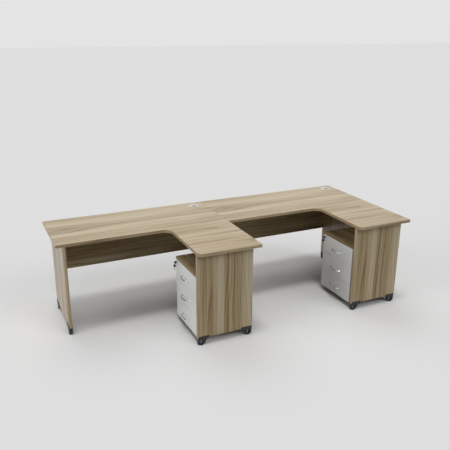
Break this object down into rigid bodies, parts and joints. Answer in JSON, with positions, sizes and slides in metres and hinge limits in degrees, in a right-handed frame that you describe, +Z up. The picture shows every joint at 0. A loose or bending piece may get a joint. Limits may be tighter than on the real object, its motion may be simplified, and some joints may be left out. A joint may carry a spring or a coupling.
{
  "type": "two-person workstation desk",
  "caption": "Run of L-shaped wood-decor office desks with panel legs, modesty panels, cable outlets and rolling drawer pedestals with white fronts and bow handles.",
  "frame": {"origin": "on the floor under the middle of the run", "axes": "+X to the right along the run, +Y to the back edge, +Z up"},
  "size_m": [2.8, 1.2, 0.764],
  "materials": {
    "decor_board": "matt wood-grain melamine",
    "white_board": "satin white melamine",
    "black_moulding": "fine texture",
    "grey_moulding": "fine texture",
    "grey_tread": "satin",
    "zinc_steel": "zinc plated",
    "white_steel": "powder coated",
    "chrome_handle": "bright chrome",
    "key": "moulded grip"
  },
  "bodies": {
    "desk": {"left_desktop": "decor_board", "right_desktop": "decor_board", "left_end_panel": "decor_board", "middle_panel": "decor_board", "right_end_panel": "decor_board", "left_return_panel": "decor_board", "right_return_panel": "decor_board", "left_modesty_panel": "decor_board", "right_modesty_panel": "decor_board", "foot_brackets": "black_moulding", "levelling_glides": "black_moulding", "corner_brackets": "zinc_steel", "bracket_screws": "zinc_steel", "grommet_liners": "grey_moulding"},
    "left_grommet_cap": {"left_grommet_cap": "grey_moulding"},
    "right_grommet_cap": {"right_grommet_cap": "grey_moulding"},
    "left_pedestal": {"left_pedestal_top": "decor_board", "left_pedestal_carcass": "decor_board", "left_pedestal_runners": "white_steel"},
    "left_lower_drawer": {"left_lower_drawer_front": "white_board", "left_lower_drawer_box": "white_board", "left_lower_drawer_handle": "chrome_handle"},
    "left_middle_drawer": {"left_middle_drawer_front": "white_board", "left_middle_drawer_box": "white_board", "left_middle_drawer_handle": "chrome_handle"},
    "left_upper_drawer": {"left_upper_drawer_front": "white_board", "left_upper_drawer_box": "white_board", "left_upper_drawer_handle": "chrome_handle", "left_lock_barrel": "chrome_handle"},
    "left_key": {"left_key": "key"},
    "left_castor_1_fork": {"left_castor_1_fork": "black_moulding"},
    "left_castor_1_wheel": {"left_castor_1_wheel": "grey_tread"},
    "left_castor_2_fork": {"left_castor_2_fork": "black_moulding"},
    "left_castor_2_wheel": {"left_castor_2_wheel": "grey_tread"},
    "left_castor_3_fork": {"left_castor_3_fork": "black_moulding"},
    "left_castor_3_wheel": {"left_castor_3_wheel": "grey_tread"},
    "left_castor_4_fork": {"left_castor_4_fork": "black_moulding"},
    "left_castor_4_wheel": {"left_castor_4_wheel": "grey_tread"},
    "right_pedestal": {"right_pedestal_top": "decor_board", "right_pedestal_carcass": "decor_board", "right_pedestal_runners": "white_steel"},
    "right_lower_drawer": {"right_lower_drawer_front": "white_board", "right_lower_drawer_box": "white_board", "right_lower_drawer_handle": "chrome_handle"},
    "right_middle_drawer": {"right_middle_drawer_front": "white_board", "right_middle_drawer_box": "white_board", "right_middle_drawer_handle": "chrome_handle"},
    "right_upper_drawer": {"right_upper_drawer_front": "white_board", "right_upper_drawer_box": "white_board", "right_upper_drawer_handle": "chrome_handle", "right_lock_barrel": "chrome_handle"},
    "right_key": {"right_key": "key"},
    "right_castor_1_fork": {"right_castor_1_fork": "black_moulding"},
    "right_castor_1_wheel": {"right_castor_1_wheel": "grey_tread"},
    "right_castor_2_fork": {"right_castor_2_fork": "black_moulding"},
    "right_castor_2_wheel": {"right_castor_2_wheel": "grey_tread"},
    "right_castor_3_fork": {"right_castor_3_fork": "black_moulding"},
    "right_castor_3_wheel": {"right_castor_3_wheel": "grey_tread"},
    "right_castor_4_fork": {"right_castor_4_fork": "black_moulding"},
    "right_castor_4_wheel": {"right_castor_4_wheel": "grey_tread"}
  },
  "joints": [
    {"name": "left_grommet_cap_turn", "type": "hinge", "parent": "desk", "child": "left_grommet_cap", "pos_m": [-0.108, 0.498, 0.76], "axis": [0, 0, 1], "continuous": true},
    {"name": "right_grommet_cap_turn", "type": "hinge", "parent": "desk", "child": "right_grommet_cap", "pos_m": [1.292, 0.498, 0.76], "axis": [0, 0, 1], "continuous": true},
    {"name": "left_pedestal_roll", "type": "slide", "parent": "desk", "child": "left_pedestal", "axis": [-1, 0, 0], "range_m": [0, 0.45]},
    {"name": "left_lower_drawer_slide", "type": "slide", "parent": "left_pedestal", "child": "left_lower_drawer", "axis": [-1, 0, 0], "range_m": [0, 0.27]},
    {"name": "left_middle_drawer_slide", "type": "slide", "parent": "left_pedestal", "child": "left_middle_drawer", "axis": [-1, 0, 0], "range_m": [0, 0.27]},
    {"name": "left_upper_drawer_slide", "type": "slide", "parent": "left_pedestal", "child": "left_upper_drawer", "axis": [-1, 0, 0], "range_m": [0, 0.27]},
    {"name": "left_key_turn", "type": "hinge", "parent": "left_upper_drawer", "child": "left_key", "pos_m": [-0.493, -0.108, 0.515], "axis": [-1, 0, 0], "range_deg": [0, 90]},
    {"name": "left_castor_1_swivel", "type": "hinge", "parent": "left_pedestal", "child": "left_castor_1_fork", "pos_m": [-0.421, -0.428, 0.06], "axis": [0, 0, 1], "continuous": true},
    {"name": "left_castor_1_spin", "type": "hinge", "parent": "left_castor_1_fork", "child": "left_castor_1_wheel", "pos_m": [-0.407, -0.428, 0.022], "axis": [0, 1, 0], "continuous": true},
    {"name": "left_castor_2_swivel", "type": "hinge", "parent": "left_pedestal", "child": "left_castor_2_fork", "pos_m": [-0.421, -0.148, 0.06], "axis": [0, 0, 1], "continuous": true},
    {"name": "left_castor_2_spin", "type": "hinge", "parent": "left_castor_2_fork", "child": "left_castor_2_wheel", "pos_m": [-0.407, -0.148, 0.022], "axis": [0, 1, 0], "continuous": true},
    {"name": "left_castor_3_swivel", "type": "hinge", "parent": "left_pedestal", "child": "left_castor_3_fork", "pos_m": [-0.123, -0.428, 0.06], "axis": [0, 0, 1], "continuous": true},
    {"name": "left_castor_3_spin", "type": "hinge", "parent": "left_castor_3_fork", "child": "left_castor_3_wheel", "pos_m": [-0.109, -0.428, 0.022], "axis": [0, 1, 0], "continuous": true},
    {"name": "left_castor_4_swivel", "type": "hinge", "parent": "left_pedestal", "child": "left_castor_4_fork", "pos_m": [-0.123, -0.148, 0.06], "axis": [0, 0, 1], "continuous": true},
    {"name": "left_castor_4_spin", "type": "hinge", "parent": "left_castor_4_fork", "child": "left_castor_4_wheel", "pos_m": [-0.109, -0.148, 0.022], "axis": [0, 1, 0], "continuous": true},
    {"name": "right_pedestal_roll", "type": "slide", "parent": "desk", "child": "right_pedestal", "axis": [-1, 0, 0], "range_m": [0, 0.45]},
    {"name": "right_lower_drawer_slide", "type": "slide", "parent": "right_pedestal", "child": "right_lower_drawer", "axis": [-1, 0, 0], "range_m": [0, 0.27]},
    {"name": "right_middle_drawer_slide", "type": "slide", "parent": "right_pedestal", "child": "right_middle_drawer", "axis": [-1, 0, 0], "range_m": [0, 0.27]},
    {"name": "right_upper_drawer_slide", "type": "slide", "parent": "right_pedestal", "child": "right_upper_drawer", "axis": [-1, 0, 0], "range_m": [0, 0.27]},
    {"name": "right_key_turn", "type": "hinge", "parent": "right_upper_drawer", "child": "right_key", "pos_m": [0.907, -0.108, 0.515], "axis": [-1, 0, 0], "range_deg": [0, 90]},
    {"name": "right_castor_1_swivel", "type": "hinge", "parent": "right_pedestal", "child": "right_castor_1_fork", "pos_m": [0.979, -0.428, 0.06], "axis": [0, 0, 1], "continuous": true},
    {"name": "right_castor_1_spin", "type": "hinge", "parent": "right_castor_1_fork", "child": "right_castor_1_wheel", "pos_m": [0.993, -0.428, 0.022], "axis": [0, 1, 0], "continuous": true},
    {"name": "right_castor_2_swivel", "type": "hinge", "parent": "right_pedestal", "child": "right_castor_2_fork", "pos_m": [0.979, -0.148, 0.06], "axis": [0, 0, 1], "continuous": true},
    {"name": "right_castor_2_spin", "type": "hinge", "parent": "right_castor_2_fork", "child": "right_castor_2_wheel", "pos_m": [0.993, -0.148, 0.022], "axis": [0, 1, 0], "continuous": true},
    {"name": "right_castor_3_swivel", "type": "hinge", "parent": "right_pedestal", "child": "right_castor_3_fork", "pos_m": [1.277, -0.428, 0.06], "axis": [0, 0, 1], "continuous": true},
    {"name": "right_castor_3_spin", "type": "hinge", "parent": "right_castor_3_fork", "child": "right_castor_3_wheel", "pos_m": [1.291, -0.428, 0.022], "axis": [0, 1, 0], "continuous": true},
    {"name": "right_castor_4_swivel", "type": "hinge", "parent": "right_pedestal", "child": "right_castor_4_fork", "pos_m": [1.277, -0.148, 0.06], "axis": [0, 0, 1], "continuous": true},
    {"name": "right_castor_4_spin", "type": "hinge", "parent": "right_castor_4_fork", "child": "right_castor_4_wheel", "pos_m": [1.291, -0.148, 0.022], "axis": [0, 1, 0], "continuous": true}
  ]
}
